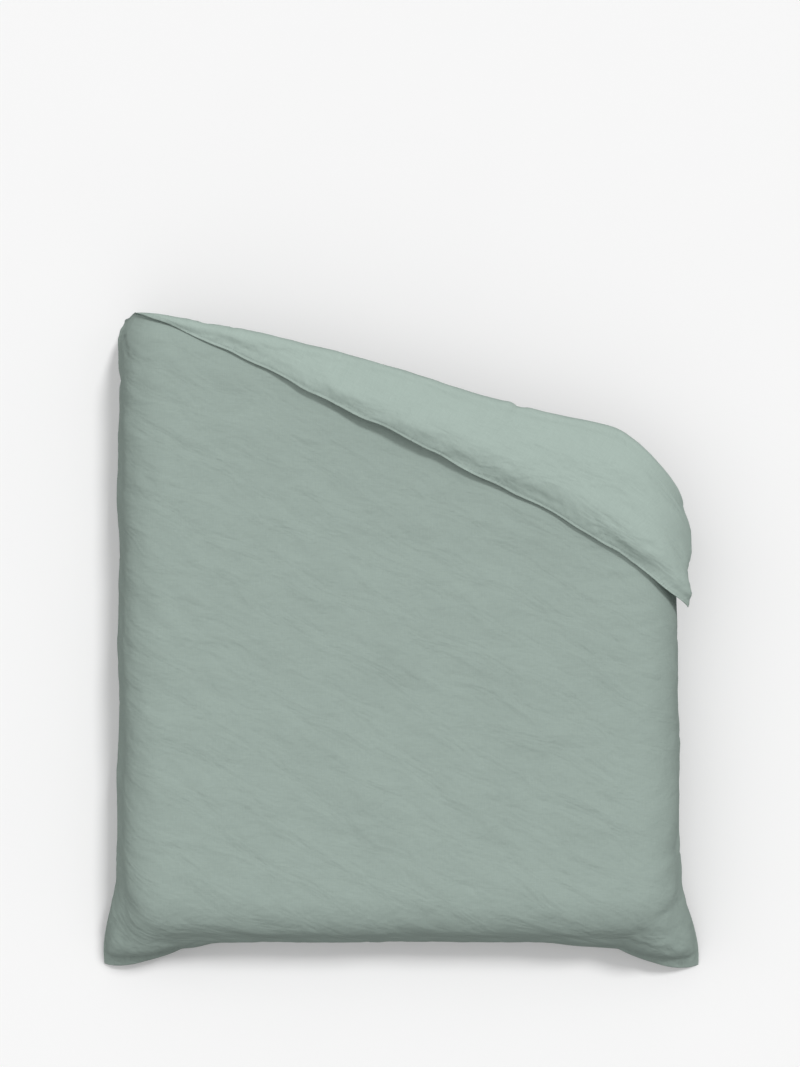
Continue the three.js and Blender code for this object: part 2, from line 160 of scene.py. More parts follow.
def fold_place(u, v):
    s = (fold_line(u) - v) * FOLD_COS
    u_fold = u - s * FOLD_SIN
    v_fold = fold_line(u_fold)
    seam = seam_loft(v_fold)
    loft = seam + (LOFT - seam) * fullness(u_fold, v_fold)
    return s, u_fold, loft * (1 - crease_at(u_fold)) / 2 + FOLD_GAP


def crease_factor(u, v):
    s, u_fold, radius = fold_place(u, v)
    away = np.maximum(0, np.maximum(-s, s - math.pi * radius))
    return 1 - crease_at(u_fold) * hill(away, CREASE_WIDTH)


def cover_loft(u, v):
    seam = seam_loft(v)
    return seam + (LOFT - seam) * fullness(u, v) * crease_factor(u, v)


def inner_loft(u, v):
    rising = fullness(u, v, ROOM) * crease_factor(u, v)
    return SEAM_LOFT + (LOFT - INNER_EASE - SEAM_LOFT) * rising


def settled(u, v):
    return -(LOFT - cover_loft(u, v)) / 2 * SETTLE


HEM_STAND, HEM_BAND = 5.0, 120.0  # least height of the turned-back hem, and its strip's width
HEM_ARCH, HEM_ARCH_U, HEM_ARCH_REACH = 23.0, 60.0, 260.0
TIP_LIFT, TIP_REACH = 27.0, 85.0
HEM_RUN, BEND_RUN = 90.0, 20.0  # past the bend, how far the hem's lift and its landing take


def turn_back(u, v, w):
    """Places on the flat duvet and heights over it, once the corner is rolled back."""
    s, u_fold, radius = fold_place(u, v)
    bend = math.pi * radius
    v_fold = fold_line(u_fold)
    angle = np.clip(s / radius, 0, math.pi)
    roll = (radius - w) * np.sin(angle)
    over = np.where(s < bend, roll, bend - s)
    place_u = np.where(s <= 0, u, u_fold + over * FOLD_SIN)
    place_v = np.where(s <= 0, v, v_fold - over * FOLD_COS)
    rolled = settled(u_fold, v_fold) + radius - (radius - w) * np.cos(angle)
    below = settled(place_u, place_v) + cover_loft(place_u, place_v) / 2
    on_top = below + 2 * FOLD_GAP + cover_loft(u, v) / 2 - w + hem_lift(u, v, s - bend)
    # Where the hem ends on the fold itself, it comes down to what it lies on without a step
    bend_end = settled(u_fold, v_fold) + 2 * radius - w
    on_top = bend_end + (on_top - bend_end) * smooth((s - bend) / BEND_RUN)
    lift = np.where(s <= 0, settled(u, v) + w, np.where(s < bend, rolled, on_top))
    return place_u, place_v, lift


def hem_lift(u, v, beyond):
    """The turned-back hem stands off what it lies on, most in its middle and at its tip."""
    edge = 1 - smooth(v / HEM_BAND)
    middle = HEM_ARCH * hill(u - HEM_ARCH_U, HEM_ARCH_REACH) + sines(u, (1.5, 47, 0))
    tip = TIP_LIFT * hill(np.hypot(HALF - u, v), TIP_REACH)
    return (edge * (HEM_STAND + middle) + tip) * smooth(beyond / HEM_RUN)


BOW, BOW_REACH = 29.0, 130.0
SAG = 30.0
EAR_DROP = 32.0


def slumped(u, v):
    """The fold bows, the cloth below it sags, and the foot's ends hang further down."""
    below = np.maximum(0, v - fold_line(u))
    fade = hill(below, SLUMP_REACH)
    at_fold = hill(below, BOW_REACH)
    bow = BOW * ramp(u, -80, 380) * at_fold + SAG * ramp(u, 380, 220) * (1 - at_fold) * fade
    aside = ramp(np.abs(u), 510, 230) * (1 - 0.8 * ramp(np.abs(u), 680, 150))
    ears = EAR_DROP * aside * ramp(v, 1650, 350)
    return v + SLUMP * ramp(u, SLUMP_START, SLUMP_WIDTH) * fade + bow + ears


def ripple(u, v, distance):
    """The hanging sides wave a little; the foot hem, held by its buttons, hardly does."""
    along_side = sines(v, (1.2, 74, 0.8), (1.6, 121, u / 300), (0.7, 39, 0))
    along_foot = sines(u, (1.0, 66, 0), (1.4, 133, 2))
    foot = ramp(v, BEND_V, 200)
    buttons = foot * (1 - ramp(np.abs(u), 560, 120))
    wave = along_side * (1 - foot) + along_foot * foot * (1 - buttons)
    return wave * ramp(distance, 90, 240)


# In degrees: how far the drops hang in from their plain angles, or stand out from them
TUCK, HEAD_TUCK = 4.5, 4.5
TUCK_DIPS = ((2.0, 1430, 140), (2.0, 880, 90))  # depth, place along the side, reach
CORNER_OUT, CORNER_OUT_V, CORNER_OUT_REACH = 6.0, 1665.0, 110.0
FLARE, FLARE_RIGHT, FLARE_LEFT = 4.8, (380, 180), (520, 110)  # the pairs: start, width
EAR_OUT_RIGHT, EAR_OUT_LEFT = 2.0, -1.2
EAR_POWER = 1.6


def hang_in(u, v, turn, towards_foot):
    """Degrees by which the cloth hangs further in than its plain angle; out is negative."""
    on_side = 1 - towards_foot
    start, width = (np.where(u > 0, *pair) for pair in zip(FLARE_RIGHT, FLARE_LEFT))
    flare = FLARE * ramp(np.abs(u), start, width) * towards_foot
    ear = np.where(u > 0, EAR_OUT_RIGHT, EAR_OUT_LEFT) * np.abs(np.sin(2 * turn))
    corner = CORNER_OUT * hill(v - CORNER_OUT_V, CORNER_OUT_REACH) * on_side
    tuck = TUCK + HEAD_TUCK * (1 - ramp(v, 800, 700))
    tuck = tuck + sum(depth * hill(v - place, reach) for depth, place, reach in TUCK_DIPS)
    return tuck * smooth(u / BEND_U) * on_side - corner - flare - ear


def drape(u, v, lift):
    """Flat places and heights over them to the row frame: level on top, then hanging."""
    side = np.maximum(0, np.abs(u) - BEND_U)
    foot = np.maximum(0, v - BEND_V)
    distance = np.hypot(side, foot)
    turn = np.arctan2(foot, side)
    heading = turn + EAR_SWING * np.sin(2 * turn)
    towards_foot = smooth(turn / (math.pi / 2))
    hang = SIDE_ANGLE + (FOOT_ANGLE - SIDE_ANGLE) * towards_foot
    hang = hang - EAR_ANGLE * np.abs(np.sin(2 * turn)) ** EAR_POWER
    hang = hang + np.radians(hang_in(u, v, turn, towards_foot))
    angle = np.minimum(distance / BEND_RADIUS, hang)
    straight = distance - BEND_RADIUS * angle
    lift = lift + ripple(u, v, distance)
    out = BEND_RADIUS * np.sin(angle) + straight * np.cos(angle) + lift * np.sin(angle)
    down = BEND_RADIUS * (1 - np.cos(angle)) + straight * np.sin(angle)
    x = np.sign(u) * (np.minimum(np.abs(u), BEND_U) + out * np.cos(heading))
    y = HEAD_Y - np.minimum(v, BEND_V) - out * np.sin(heading)
    z = LOFT / 2 - down + lift * np.cos(angle)
    return np.stack([x, y, z], -1) / 1000


def lay(u, v, w):
    """Flat places, in millimetres, to places in the row frame, in metres."""
    u, v, w = np.broadcast_arrays(*(np.asarray(a, float) for a in (u, v, w)))
    place_u, place_v, lift = turn_back(u, v, w)
    return drape(place_u, slumped(place_u, place_v), lift)


def axes_at(u, v, w):
    """Origin, and unit axes along u, towards the head, and out of the upper side."""
    origin = lay(u, v, w)
    x = lay(u + 0.5, v, w) - lay(u - 0.5, v, w)
    y = lay(u, v - 0.5, w) - lay(u, v + 0.5, w)
    x = x / np.linalg.norm(x, axis=-1, keepdims=True)
    z = np.cross(x, y)
    z = z / np.linalg.norm(z, axis=-1, keepdims=True)
    return origin, x, np.cross(z, x), z


# ---- Small shape of the cloth
def wave_table(count, shortest, longest, height):
    length = RNG.uniform(shortest, longest, count)
    heading = RNG.uniform(0, math.pi, count)
    phase = RNG.uniform(0, 2 * math.pi, count)
    size = height * RNG.uniform(0.5, 1, count) / math.sqrt(count)
    k = 2 * math.pi / length
    return np.stack([k * np.cos(heading), k * np.sin(heading), phase, size], -1)


def waves(u, v, table):
    return sum(h * np.sin(a * u + b * v + c) for a, b, c, h in table)


SWELLS = [wave_table(14, 190, 620, 3.2) for _ in range(2)]
LUMPS = [wave_table(22, 60, 150, 0.8) for _ in range(2)]


def crease_table(count, lean, spread):
    """Soft creases: place, heading, half length, half width and height."""
    u, v = RNG.uniform(-HALF, HALF, count), RNG.uniform(0, LENGTH, count)
    leaning = RNG.random(count) < 0.75
    heading = np.where(leaning, RNG.normal(lean, spread, count), RNG.uniform(0, math.pi, count))
    length, width = RNG.uniform(40, 170, count), RNG.uniform(8, 17, count)
    height = RNG.choice([-1, 1], count) * RNG.uniform(0.2, 0.8, count)
    return np.stack([u, v, heading, length, width, height], -1)


CREASES = [crease_table(240, 0.4, 0.35), crease_table(300, 0.1, 0.2)]
# Tension creases under the turned-back corner, and towards the foot corners
PULLS = (
    (590, 735, 0.05, 80, 12, 1.6),
    (560, 770, -0.05, 110, 15, -1.3),
    (675, 850, -0.30, 60, 12, 1.8),
    (650, 905, -0.25, 90, 14, -1.4),
    (720, 960, -0.45, 70, 13, 1.4),
    (-760, 1760, 2.35, 120, 14, 1.8),
    (-700, 1800, 2.15, 110, 13, -1.4),
    (760, 1760, 0.79, 120, 14, 1.8),
    (705, 1810, 1.00, 110, 13, -1.4),
    (820, 1690, 0.60, 110, 14, 1.4),
    (-820, 1690, 2.50, 110, 14, 1.4),
    (830, 1560, -0.30, 90, 13, -2.2),
    (850, 1590, -0.25, 80, 13, 1.8),
    (800, 1740, 0.05, 90, 13, -2.0),
    (780, 1850, 0.10, 100, 13, 1.8),
    (-850, 1640, 0.20, 70, 14, 1.5),
)
# On the turned-back corner: near the hem, at the shoulder and along its tip
FLAP_PULLS = (
    (745, 58, -0.42, 62, 8, -2.0),
    (764, 44, -0.38, 55, 8, 1.6),
    (722, 80, -0.46, 60, 9, 1.6),
    (930, 300, 0.46, 55, 9, 1.8),
    (942, 262, 0.52, 48, 9, -1.6),
    (950, 222, 0.42, 45, 9, 1.6),
    (970, 95, 1.55, 65, 8, 1.6),
    (948, 75, 1.45, 55, 8, -1.6),
    (300, 40, -0.25, 60, 8, 1.4),
    (120, 45, -0.30, 60, 8, -1.4),
    (-160, 36, -0.2, 55, 8, 1.3),
    (520, 44, -0.3, 60, 8, 1.4),
    (420, 60, -0.35, 60, 9, -1.3),
)


def creases(u, v, table):
    total = np.zeros(np.broadcast(u, v).shape)
    for cu, cv, heading, length, width, height in table:
        along = (u - cu) * math.cos(heading) + (v - cv) * math.sin(heading)
        across = (v - cv) * math.cos(heading) - (u - cu) * math.sin(heading)
        across = across + along**2 / (length * 6)
        total = total + height * np.exp(-((along / length) ** 4) - (across / width) ** 2)
    return total


PUCKER, PUCKER_REACH = 1.15, 16.0


def gathers(x, skew, pitch, drift, drift_length, swing):
    """Small waves along x whose pitch drifts, and whose height swings between rows."""
    fine = np.sin((x + skew) / pitch + drift * np.sin(x / drift_length))
    return fine * (1 - swing[0] + sines(x, swing))


def puckers(u, v):
    """Gathers along the seams, strongest just inside the stitching."""
    head, side, foot = v, HALF - np.abs(u), LENGTH - v - HEM + SEAM
    along_head = gathers(u, 0.7 * v, 5.6, 2.6, 61, (0.45, 47, np.sin(u / 190)))
    along_foot = gathers(u, -0.3 * foot, 8.4, 2, 57, (0.5, 71, 1))
    along_side = gathers(v, 0.4 * side, 8.1, 2.3, 66, (0.5, 53, np.sin(v / 170)))

    def band(distance):
        x = np.maximum(distance - SEAM, 0) / PUCKER_REACH
        return x * np.exp(1 - x)

    return PUCKER * (band(head) * along_head + band(foot) * along_foot + band(side) * along_side)


PLEAT_U = 338.0


def pinch(u, v):
    """A small pleat where the fold crosses the mattress."""
    s, u_fold, radius = fold_place(u, v)
    notch = -5.0 * hill(s - math.pi * radius / 2, 34) * hill(u_fold - PLEAT_U, 15)
    tail = np.exp(-np.maximum(s - 20, 0) / 85) * smooth(s / 12)
    across = u_fold - PLEAT_U + 0.32 * s
    return notch - 2.6 * tail * hill(across, 11) + 2.2 * tail * hill(across + 24, 14)


def under_flap(u, v):
    """1 where the upper panel lies against itself under the turned-back corner."""
    s, u_fold, radius = fold_place(u, v)
    over = math.pi * radius - s
    flap_u = u_fold + over * FOLD_SIN
    flap_v = fold_line(u_fold) - over * FOLD_COS
    inside = np.minimum(flap_v + 20, HALF + 20 - flap_u)
    return np.where(s > 0, 1.0, smooth(inside / 40))


def on_mattress(u, v):
    """1 where the lower panel lies on the level top of the mattress."""
    s, _, _ = fold_place(u, v)
    flat = smooth((BEND_U + 70 - np.abs(u)) / 90) * smooth((BEND_V + 70 - v) / 90)
    return flat * smooth(-s / 50 + 0.6)


def puff(u, v, upper):
    """How far a panel's outside stands off its plain shape, outwards."""
    u, v = np.broadcast_arrays(np.asarray(u, float), np.asarray(v, float))
    full = fullness(u, v)
    k = 0 if upper else 1
    raised = (waves(u, v, SWELLS[k]) + 1.0) * full
    raised = raised + (waves(u, v, LUMPS[k]) + creases(u, v, CREASES[k])) * np.sqrt(full)
    raised = raised + puckers(u, v) + swollen(u, v, k)
    if upper:
        raised = raised + creases(u, v, PULLS) * full
        free = 1 - 0.92 * under_flap(u, v)
    else:
        raised = raised + pinch(u, v) + creases(u, v, FLAP_PULLS)
        free = 1 - 0.95 * on_mattress(u, v)
    # The fold's own inside and the flat hem stay thin
    return np.maximum(raised * free, -0.35 * (cover_loft(u, v) / 2 - 0.8))


KNIFE_INSET = 3.5


def knife_edge(u, v):
    """The sides and head swell from just inside the edge, whose seam is turned in."""
    off_foot = np.minimum(v, LENGTH / 2)
    wider = fullness(u, off_foot, KNIFE_INSET - SEAM) - fullness(u, off_foot)
    return (LOFT - SEAM_LOFT) / 2 * wider * (1 - ramp(v, 1850, 100))


def surface(u, v, upper):
    side = 1 if upper else -1
    return side * (cover_loft(u, v) / 2 + knife_edge(u, v) + puff(u, v, upper))


# ---- Cloth simulation of the seams
STEP = 12.5
SPOTS = np.arange(-HALF, HALF + 1, STEP)
RING = 190.0  # width of the border that is free to swell
LAST_FRAME = 18
CLOTH = {
    "quality": 6,
    "mass": 0.2,
    "tension_stiffness": 14,
    "compression_stiffness": 14,
    "bending_stiffness": 0.35,
    "use_pressure": True,
    "uniform_pressure_force": 3.0,
    "shrink_min": -0.02,
    "shrink_max": -0.02,
    "vertex_group_mass": "pin",
}


def settle_cloth(cloth_object):
    """Runs the cloth from frame to frame and returns its points, in metres."""
    cloth = cloth_object.modifiers.new("Cloth", "CLOTH")
    for key, value in CLOTH.items():
        setattr(cloth.settings, key, value)
    cloth.settings.effector_weights.gravity = 0
    cloth.point_cache.frame_start, cloth.point_cache.frame_end = 1, LAST_FRAME
    for number in range(1, LAST_FRAME + 1):
        SCENE.frame_set(number)
    settled_object = cloth_object.evaluated_get(bpy.context.evaluated_depsgraph_get())
    result = settled_object.to_mesh()
    points = np.zeros(len(result.vertices) * 3)
    result.vertices.foreach_get("co", points)
    settled_object.to_mesh_clear()
    return points.reshape(-1, 3)


def simulate_border():
    """Swells the border of the flat cover with air and returns how far each spot moved."""
    n = len(SPOTS)
    moved = np.zeros((2, n, n, 3))
    u, v = np.meshgrid(SPOTS, SPOTS + HALF, indexing="ij")
    edge = np.minimum(HALF - np.abs(u), np.minimum(v, LENGTH - v))
    used = edge <= RING + STEP / 2
    index = np.full((2, n, n), -1)
    index[0][used] = np.arange(used.sum())
    inside = used & (edge > 0)
    index[1][inside] = used.sum() + np.arange(inside.sum())
    rim = used & (edge == 0)
    index[1][rim] = index[0][rim]
    half_loft = 0.8 * cover_loft(u, v) / 2
    points = np.zeros((used.sum() + inside.sum(), 3))
    for layer, mask, sign in ((0, used, 1), (1, inside, -1)):
        points[index[layer][mask]] = np.stack([u[mask], v[mask], sign * half_loft[mask]], -1) / 1000
    points[index[0][rim], 2] = 0
    faces = []
    for layer in (0, 1):
        i = index[layer]
        quads = np.stack([i[:-1, :-1], i[1:, :-1], i[1:, 1:], i[:-1, 1:]], -1).reshape(-1, 4)
        quads = quads[(quads >= 0).all(1)]
        faces.append(quads if layer == 0 else quads[:, ::-1])
    mesh = bpy.data.meshes.new("border")
    mesh.from_pydata(points.tolist(), [], np.concatenate(faces).tolist())
    border = bpy.data.objects.new("border", mesh)
    SCENE.collection.objects.link(border)
    pin = border.vertex_groups.new(name="pin")
    edge_of = np.zeros(len(points))
    edge_of[index[0][used]] = edge[used]
    edge_of[index[1][inside]] = edge[inside]
    pin.add([int(i) for i in np.where(edge_of > RING - STEP)[0]], 1.0, "REPLACE")
    change = (settle_cloth(border) - points) * 1000
    for layer in (0, 1):
        mask = index[layer] >= 0
        moved[layer][mask] = change[index[layer][mask]]
    bpy.data.objects.remove(border)
    bpy.data.meshes.remove(mesh)
    SCENE.frame_set(1)
    moved[1, ..., 2] *= -1
    return moved


def blur(field, times):
    for _ in range(times):
        for axis in (0, 1):
            field = 0.25 * np.roll(field, 1, axis) + 0.5 * field + 0.25 * np.roll(field, -1, axis)
    return field


def swelling():
    """The simulated swelling without its broad part, which the duvet's own loft gives."""
    moved = simulate_border()
    fine = []
    for layer in (0, 1):
        height = moved[layer, ..., 2]
        detail = height - blur(height, 14)
        fine.append(3.0 * np.tanh(detail / 4.0))
    edge_shift = 2.5 * np.tanh(moved.mean(0)[..., :2] / 5.0)
    return fine, edge_shift


def sample(field, u, v):
    """Smooth reading of a field on the spots."""
    x = np.clip((u + HALF) / STEP, 0, len(SPOTS) - 1.001)
    y = np.clip(v / STEP, 0, len(SPOTS) - 1.001)
    i, j = np.floor(x).astype(int), np.floor(y).astype(int)
    a, b = x - i, y - j
    if field.ndim == 2:
        a, b = smooth(a), smooth(b)
    else:
        a, b = a[..., None], b[..., None]
    return (
        field[i, j] * (1 - a) * (1 - b)
        + field[i + 1, j] * a * (1 - b)
        + field[i, j + 1] * (1 - a) * b
        + field[i + 1, j + 1] * a * b
    )


FINE, EDGE_SHIFT = swelling()


def swollen(u, v, layer):
    """How far the simulated air lifts a panel off its plain shape, just inside the seam."""
    edge = np.minimum(HALF - np.abs(u), np.minimum(v, LENGTH - v))
    return sample(FINE[layer], u, v) * (1 - ramp(edge, 90, 80)) * ramp(edge, SEAM, 20)


def beyond_buttons(u):
    """0 where the buttons hold the foot hem straight, 1 towards its ends."""
    return ramp(np.abs(u), 520, 80)


def near_edge(distance):
    return 1 - smooth(distance / 120)


def hem_wave(u, v):
    """The cut edges aren't quite straight: how far a flat place moves, in u and v."""
    head = sines(u, (2.4, 83, 1.1 * np.sin(u / 37)), (1.2, 29, 0))
    foot = sines(u, (0.8, 91, 2), (0.4, 31, 0)) * beyond_buttons(u)
    side = sines(v, (1.4, 88, 0), (0.7, 33, 1)) * np.sign(u)
    return near_edge(HALF - np.abs(u)) * side, near_edge(v) * head + near_edge(LENGTH - v) * foot


TIP_PULL = 16.0
FOOT_PULL_RIGHT, FOOT_PULL_LEFT, FOOT_PULL_DOWN = 13.5, 4.5, 18.0


def corner_pull(u, v):
    """The cover's corners stay drawn out where its sides are pulled in."""
    tip = hill(np.hypot(HALF - u, v), 130)
    foot = hill(np.hypot(HALF - np.abs(u), LENGTH - v), 150)
    aside = np.where(u > 0, FOOT_PULL_RIGHT, -FOOT_PULL_LEFT)
    return aside * foot, FOOT_PULL_DOWN * foot - TIP_PULL * tip


def lay_cloth(u, v, w):
    """As lay, with the small movements of the cover's own edges and corners."""
    du, dv = (a + b for a, b in zip(hem_wave(u, v), corner_pull(u, v)))
    shift = sample(EDGE_SHIFT, u, v)
    keep = 1 - ramp(v, 1700, 150) * (1 - beyond_buttons(u))
    return lay(u + (du + shift[..., 0]) * keep, v + (dv + shift[..., 1]) * keep, w)


# ---- Meshes
def new_piece(name, points, faces, slot, nodes=(), uvs=None, look=None):
    mesh = bpy.data.meshes.new(name)
    mesh.from_pydata(np.asarray(points).reshape(-1, 3).tolist(), [], faces)
    mesh.update()
    if uvs is not None:
        layer = mesh.uv_layers.new(name="flat")
        corners = np.zeros(len(mesh.loops), int)
        mesh.loops.foreach_get("vertex_index", corners)
        layer.data.foreach_set("uv", (np.asarray(uvs).reshape(-1, 2)[corners] / 1000).ravel())
    mesh.polygons.foreach_set("use_smooth", [True] * len(mesh.polygons))
    piece = bpy.data.objects.new(name, mesh)
    SCENE.collection.objects.link(piece)
    piece.data.materials.append(MATERIALS[look or slot])
    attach(piece, "root")
    if nodes:
        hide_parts(*nodes)
    return piece


def quads(i):
    """The faces of a grid of point numbers."""
    return np.stack([i[:-1, :-1], i[:-1, 1:], i[1:, 1:], i[1:, :-1]], -1).reshape(-1, 4)


def bridge(first, second):
    """The faces between two closed rings of point numbers."""
    return np.stack([first, np.roll(first, -1), np.roll(second, -1), second], -1)


def grid_faces(rows, columns, start=0, flip=False, closed=False):
    i = np.arange(rows * columns).reshape(rows, columns) + start
    if closed:
        i = np.concatenate([i, i[:, :1]], 1)
    return quads(i)[:, ::-1].tolist() if flip else quads(i).tolist()


def between(a, b, step):
    return np.linspace(a, b, max(2, int(round(abs(b - a) / step)) + 1))


# Distances from an edge of the cover, close together near its seam; the foot's hem is wider
BORDER = np.array([0, 2.5, 5, 7.5, 9.5, 11, 14, 18, 23, 29, 36, 44, 52, 60])
HEM_BORDER = np.concatenate([BORDER[:8], [39.5, 42.5, 47, 54, 64, 78]])
COVER_STEP = 7.0


def cover_grid():
    """Columns, and rows that follow the fold: two arrays of flat places."""
    edge = BORDER[-1]
    middle = between(edge - HALF, HALF - edge, COVER_STEP)[1:-1]
    columns = np.concatenate([BORDER - HALF, middle, (HALF - BORDER)[::-1]])
    u = columns[:, None]
    _, _, radius = fold_place(u, fold_line(u))
    bend = math.pi * radius
    start = np.maximum(70, fold_line(u) - bend / FOLD_COS - 8)
    end = start + bend / FOLD_COS + 20
    end = np.maximum(end, fold_line(u) + 8)

    def span(a, b, count):
        t = np.linspace(0, 1, count, endpoint=False)
        return a * (1 - t) + b * t

    foot = LENGTH - HEM_BORDER[::-1]
    rows = [
        np.broadcast_to(BORDER[:-1], (len(columns), len(BORDER) - 1)),
        span(edge + 0 * u, start, int(370 / COVER_STEP)),
        span(start, end, 20),
        span(end, foot[0] + 0 * u, int(1760 / COVER_STEP)),
        np.broadcast_to(foot, (len(columns), len(foot))),
    ]
    v = np.concatenate(rows, 1)
    return np.broadcast_to(u, v.shape), v


# ---- Materials
class Nodes:
    """A material's node tree, with short calls for the nodes it needs."""

    def __init__(self, name):
        self.material = bpy.data.materials.new(name)
        self.material.use_nodes = True
        self.tree = self.material.node_tree
        self.shader = self.tree.nodes["Principled BSDF"]

    def add(self, kind, inputs=(), **settings):
        node = self.tree.nodes.new(kind)
        for key, value in settings.items():
            setattr(node, key, value)
        for key, value in dict(inputs).items():
            if isinstance(value, bpy.types.NodeSocket):
                self.tree.links.new(value, node.inputs[key])
            else:
                node.inputs[key].default_value = value
        return node

    def link(self, socket, name):
        self.tree.links.new(socket, self.shader.inputs[name])

    def fixed(self, **values):
        for key, value in values.items():
            self.shader.inputs[key.replace("_", " ")].default_value = value

    def noise(self, place, scale, detail, distortion=0.0, roughness=0.5):
        inputs = {"Vector": place, "Scale": scale, "Detail": detail}
        inputs |= {"Distortion": distortion, "Roughness": roughness}
        return self.add("ShaderNodeTexNoise", inputs).outputs[0]

    def ranged(self, mask, low, high, name):
        """Sets a shader input that goes from low to high with the mask."""
        self.link(self.add("ShaderNodeMapRange", {0: mask, 3: low, 4: high}).outputs[0], name)

    def mixed(self, mask, color, low, high):
        """The colour, low to high times as bright with the mask."""
        dark, light = shades(color, low, high)
        return self.add("ShaderNodeMix", {0: mask, 6: dark, 7: light}, data_type="RGBA").outputs[2]

    def bumps(self, *layers):
        """Bumps on top of each other, each with its height, strength and depth in metres."""
        normal = None
        for height, strength, distance in layers:
            inputs = {"Height": height, "Strength": strength, "Distance": distance}
            if normal is not None:
                inputs["Normal"] = normal
            normal = self.add("ShaderNodeBump", inputs).outputs[0]
        self.link(normal, "Normal")


def shades(color, *factors):
    return [tuple(min(1, c * f) for c in color) + (1,) for f in factors]


def streaks(n, place, along, across, lean=0.0, kind="FBM", detail=3):
    """Noise drawn out along one heading; along and across are its sizes in metres."""
    turned = n.add(
        "ShaderNodeMapping",
        {"Vector": place, "Rotation": (0, 0, lean), "Scale": (along, across, 1)},
        vector_type="TEXTURE",
    )
    inputs = {"Vector": turned.outputs[0], "Scale": 1, "Detail": detail}
    inputs |= {"Roughness": 0.55, "Distortion": 0.35}
    return n.add("ShaderNodeTexNoise", inputs, noise_type=kind).outputs[0]


def edge_puckers(n, place):
    """Gathers square to the seams, only just inside the edges."""
    apart = n.add("ShaderNodeSeparateXYZ", {0: place})
    aside = n.add("ShaderNodeMath", {0: apart.outputs[0]}, operation="ABSOLUTE").outputs[0]
    bands = (
        (aside, 0.962, 0.993, streaks(n, place, 0.06, 0.011)),
        (apart.outputs[1], 0.038, 0.007, streaks(n, place, 0.011, 0.06)),
        (apart.outputs[1], 1.925, 1.956, streaks(n, place, 0.013, 0.06)),
    )
    total = None
    for value, start, end, noise in bands:
        mask = n.add("ShaderNodeMapRange", {0: value, 1: start, 2: end}).outputs[0]
        part = n.add("ShaderNodeMath", {0: mask, 1: noise}, operation="MULTIPLY").outputs[0]
        if total is not None:
            part = n.add("ShaderNodeMath", {0: total, 1: part}, operation="ADD").outputs[0]
        total = part
    return total


def cloth_material(
    name, color, thread=0.9, vary=0.05, sheen=0.04, crinkle=0.8, rough=0.86, edges=False, lean=0.42
):
    """Plain weave: warp and weft of thread mm, slubs, creases, crinkles and mottling."""
    n = Nodes(name)
    place = n.add("ShaderNodeTexCoord").outputs["UV"]
    bands = [
        n.add(
            "ShaderNodeTexWave",
            {"Vector": place, "Scale": 50 / thread, "Distortion": 0.6, "Detail": 1},
            wave_type="BANDS",
            bands_direction=direction,
        ).outputs[1]
        for direction in ("X", "Y")
    ]
    weave = n.add("ShaderNodeMath", {0: bands[0], 1: bands[1]}, operation="MAXIMUM").outputs[0]
    slubs = streaks(n, place, 0.035, 0.0024, detail=2), streaks(n, place, 0.0024, 0.035, detail=2)
    slub = n.add("ShaderNodeMath", {0: slubs[0], 1: slubs[1]}, operation="ADD").outputs[0]
    mottle = n.noise(place, 5.5, 5, distortion=0.3, roughness=0.62)
    base = n.mixed(mottle, color, 1 - vary, 1 + vary)
    fleck_mask = n.add("ShaderNodeMapRange", {0: slub, 1: 0.75, 2: 1.25}).outputs[0]
    fleck = n.mixed(fleck_mask, (1, 1, 1), 0.94, 1.0)
    inputs = {0: 1.0, 6: base, 7: fleck}
    tint = n.add("ShaderNodeMix", inputs, data_type="RGBA", blend_type="MULTIPLY")
    n.link(tint.outputs[2], "Base Color")
    n.ranged(mottle, rough - 0.06, rough + 0.06, "Roughness")
    layers = [
        (streaks(n, place, 0.17, 0.07, lean), crinkle, 0.014),
        (streaks(n, place, 0.07, 0.016, lean + 0.15, "RIDGED_MULTIFRACTAL", 2), 0.16 * crinkle, 0.0011),
        (streaks(n, place, 0.04, 0.018, lean - 0.9), crinkle, 0.0022),
        (slub, 0.5, 0.0004),
        (weave, 0.35, 0.0002),
    ]
    if edges:
        layers.insert(3, (edge_puckers(n, place), 0.8, 0.005))
    n.bumps(*layers)
    n.fixed(Sheen_Weight=sheen, Sheen_Roughness=0.45, Sheen_Tint=shades(color, 1.6)[0])
    n.fixed(IOR=1.42, Specular_IOR_Level=0.12)
    return n.material


def filling_material(name, color):
    """Loose white filling: clumped fibre."""
    n = Nodes(name)
    place = n.add("ShaderNodeTexCoord").outputs["Object"]
    inputs = {"Vector": place, "Scale": 60}
    clumps = n.add("ShaderNodeTexVoronoi", inputs, feature="SMOOTH_F1").outputs[0]
    fibres = n.noise(place, 320, 6, distortion=2.5)
    n.link(n.mixed(fibres, color, 0.9, 1.04), "Base Color")
    n.bumps((clumps, 0.6, 0.004), (fibres, 0.5, 0.001))
    n.fixed(Roughness=0.95, Sheen_Weight=0.5, Sheen_Roughness=0.6, Subsurface_Weight=0.1)
    return n.material


def button_material(name, color):
    """Pearly dyed resin with soft swirls and fine scratches."""
    n = Nodes(name)
    place = n.add("ShaderNodeTexCoord").outputs["Object"]
    swirl = n.noise(place, 110, 3, distortion=3)
    scratch = n.noise(place, 1500, 2)
    n.link(n.mixed(swirl, color, 0.85, 1.15), "Base Color")
    n.ranged(scratch, 0.22, 0.4, "Roughness")
    n.bumps((scratch, 0.15, 0.0001))
    n.fixed(IOR=1.5, Coat_Weight=0.3, Coat_Roughness=0.2)
    return n.material


